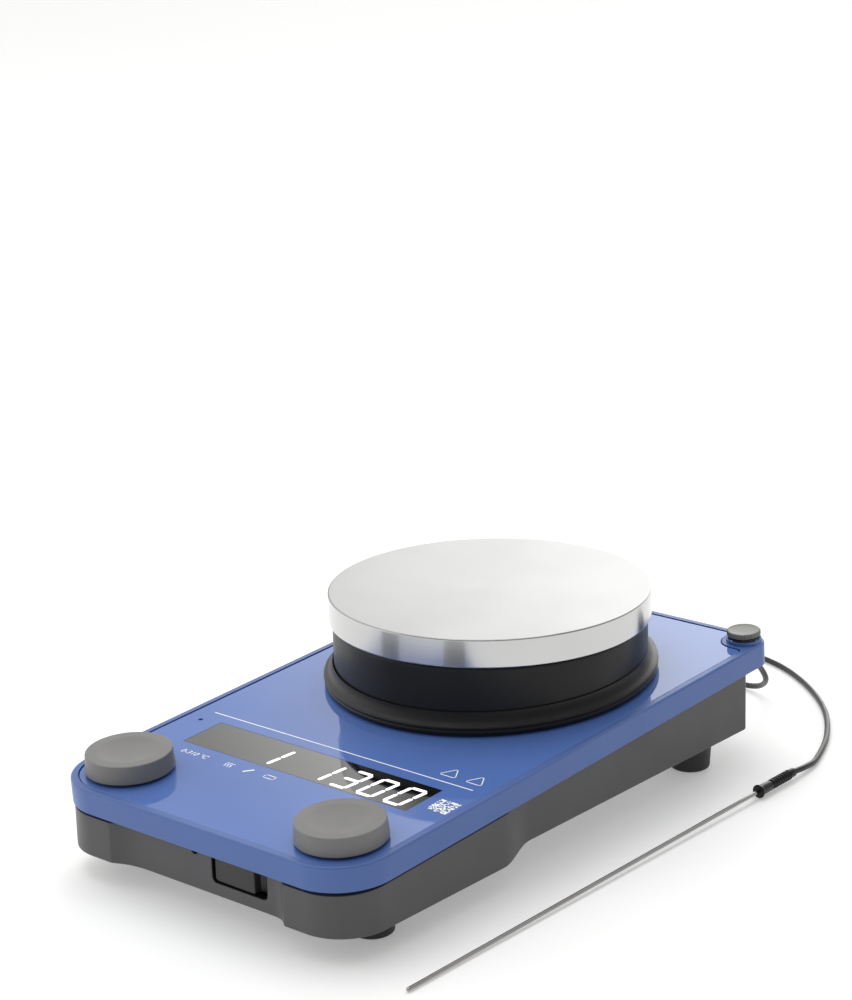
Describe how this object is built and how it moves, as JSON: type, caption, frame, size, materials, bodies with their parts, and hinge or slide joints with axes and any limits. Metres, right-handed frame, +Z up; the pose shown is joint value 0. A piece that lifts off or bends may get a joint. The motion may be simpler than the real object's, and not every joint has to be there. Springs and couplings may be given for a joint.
{
  "type": "heating magnetic stirrer",
  "caption": "Low box with a sloping blue deck, round hotplate on a dark skirt, two knobs, display window, rocker switch, and a rod-shaped temperature probe on a cord.",
  "frame": {"origin": "on the table under the middle of the stirrer's body", "axes": "+Y from the front with the knobs to the rear with the sockets, +X to the right seen from the front, +Z up"},
  "size_m": [0.187, 0.3684, 0.085],
  "materials": {
    "blue_paint": "satin powder coat",
    "blue_gloss": "high gloss",
    "dark_glass": "high gloss, dark tint",
    "base_grey": "fine texture",
    "knob_grey": "fine texture",
    "black_rubber": "matte",
    "black_plastic": "satin",
    "polished_plate": "polished",
    "steel": "brushed",
    "aluminium": "plain",
    "brass": "plain",
    "copper": "wound copper",
    "magnet": "nickel plated",
    "board_green": "solder resist",
    "ceramic": "matt"
  },
  "bodies": {
    "base": {"base_housing": "base_grey", "base_screw_front_left": "steel", "base_screw_front_right": "steel", "base_screw_rear_left": "steel", "base_screw_rear_right": "steel", "bottom_cover": "steel", "display_board": "board_green", "display_module": "black_plastic", "display_window": "dark_glass", "foot_front_left": "black_rubber", "foot_front_right": "black_rubber", "foot_rear_left": "black_rubber", "foot_rear_right": "black_rubber", "heat_encoder": "black_plastic", "heat_shield": "aluminium", "heat_sink": "aluminium", "heating_element": "copper", "hotplate": "polished_plate", "insulation_disc": "ceramic", "lower_bearing": "steel", "main_board": "board_green", "motor_bracket": "aluminium", "motor_housing": "steel", "motor_stator": "copper", "plate_sensor": "steel", "plate_skirt": "black_plastic", "plate_spacer_1": "ceramic", "plate_spacer_2": "ceramic", "plate_spacer_3": "ceramic", "power_inlet": "black_plastic", "power_module": "black_plastic", "power_switch_body": "black_plastic", "probe_boot": "black_rubber", "probe_cord": "black_rubber", "probe_plug": "black_plastic", "probe_rod": "steel", "rod_bush": "steel", "safety_trimmer": "black_plastic", "sensor_socket": "black_plastic", "skirt_gasket": "black_rubber", "speed_encoder": "black_plastic", "top_housing": "blue_paint", "top_panel": "blue_gloss", "upper_bearing": "steel"},
    "heat_press": {"heat_plunger": "black_plastic"},
    "heat_turn": {"heat_knob": "knob_grey", "heat_shaft": "steel"},
    "speed_press": {"speed_plunger": "black_plastic"},
    "speed_turn": {"speed_knob": "knob_grey", "speed_shaft": "steel"},
    "rocker": {"power_rocker": "black_plastic"},
    "cap_lift": {"rod_cap_washer": "black_rubber"},
    "cap_turn": {"rod_cap": "base_grey"},
    "fuse_drawer": {"fuse_drawer": "black_plastic", "fuse": "brass"},
    "trimmer": {"safety_trimmer_screw": "brass"},
    "rotor": {"motor_rotor": "steel", "magnet_yoke": "steel", "drive_magnet_1": "magnet", "drive_magnet_2": "magnet"}
  },
  "joints": [
    {"name": "heat_knob_press", "type": "slide", "parent": "base", "child": "heat_press", "axis": [0, 0.0523, -0.9986], "range_m": [0, 0.0005], "stiffness_N_per_m": 1500, "springref_m": -0.001},
    {"name": "heat_knob_turn", "type": "hinge", "parent": "heat_press", "child": "heat_turn", "pos_m": [-0.0565, -0.11129, 0.03989], "axis": [0, -0.0523, 0.9986], "continuous": true},
    {"name": "speed_knob_press", "type": "slide", "parent": "base", "child": "speed_press", "axis": [0, 0.0523, -0.9986], "range_m": [0, 0.0005], "stiffness_N_per_m": 1500, "springref_m": -0.001},
    {"name": "speed_knob_turn", "type": "hinge", "parent": "speed_press", "child": "speed_turn", "pos_m": [0.0565, -0.11129, 0.03989], "axis": [0, -0.0523, 0.9986], "continuous": true},
    {"name": "power_switch", "type": "hinge", "parent": "base", "child": "rocker", "pos_m": [0.0203, -0.1245, 0.0214], "axis": [0, 0, -1], "range_deg": [0, 12]},
    {"name": "rod_cap_lift", "type": "slide", "parent": "base", "child": "cap_lift", "axis": [0, -0.0523, 0.9986], "range_m": [0, 0.0075]},
    {"name": "rod_cap_turn", "type": "hinge", "parent": "cap_lift", "child": "cap_turn", "pos_m": [0.0713, 0.12639, 0.05234], "axis": [0, -0.0523, 0.9986], "range_deg": [0, 1801]},
    {"name": "fuse_drawer_pull", "type": "slide", "parent": "base", "child": "fuse_drawer", "axis": [0, 1, 0], "range_m": [0, 0.017]},
    {"name": "safety_trimmer_turn", "type": "hinge", "parent": "base", "child": "trimmer", "pos_m": [-0.0685, -0.06076, 0.04254], "axis": [0, -0.0523, 0.9986], "range_deg": [-135, 135]},
    {"name": "motor_spin", "type": "hinge", "parent": "base", "child": "rotor", "pos_m": [0, 0.0435, 0.03], "axis": [0, 0, 1], "continuous": true}
  ],
  "couplings": [
    {"joint": "rod_cap_turn", "follows": "rod_cap_lift", "rad_per_m": 4188.8}
  ]
}
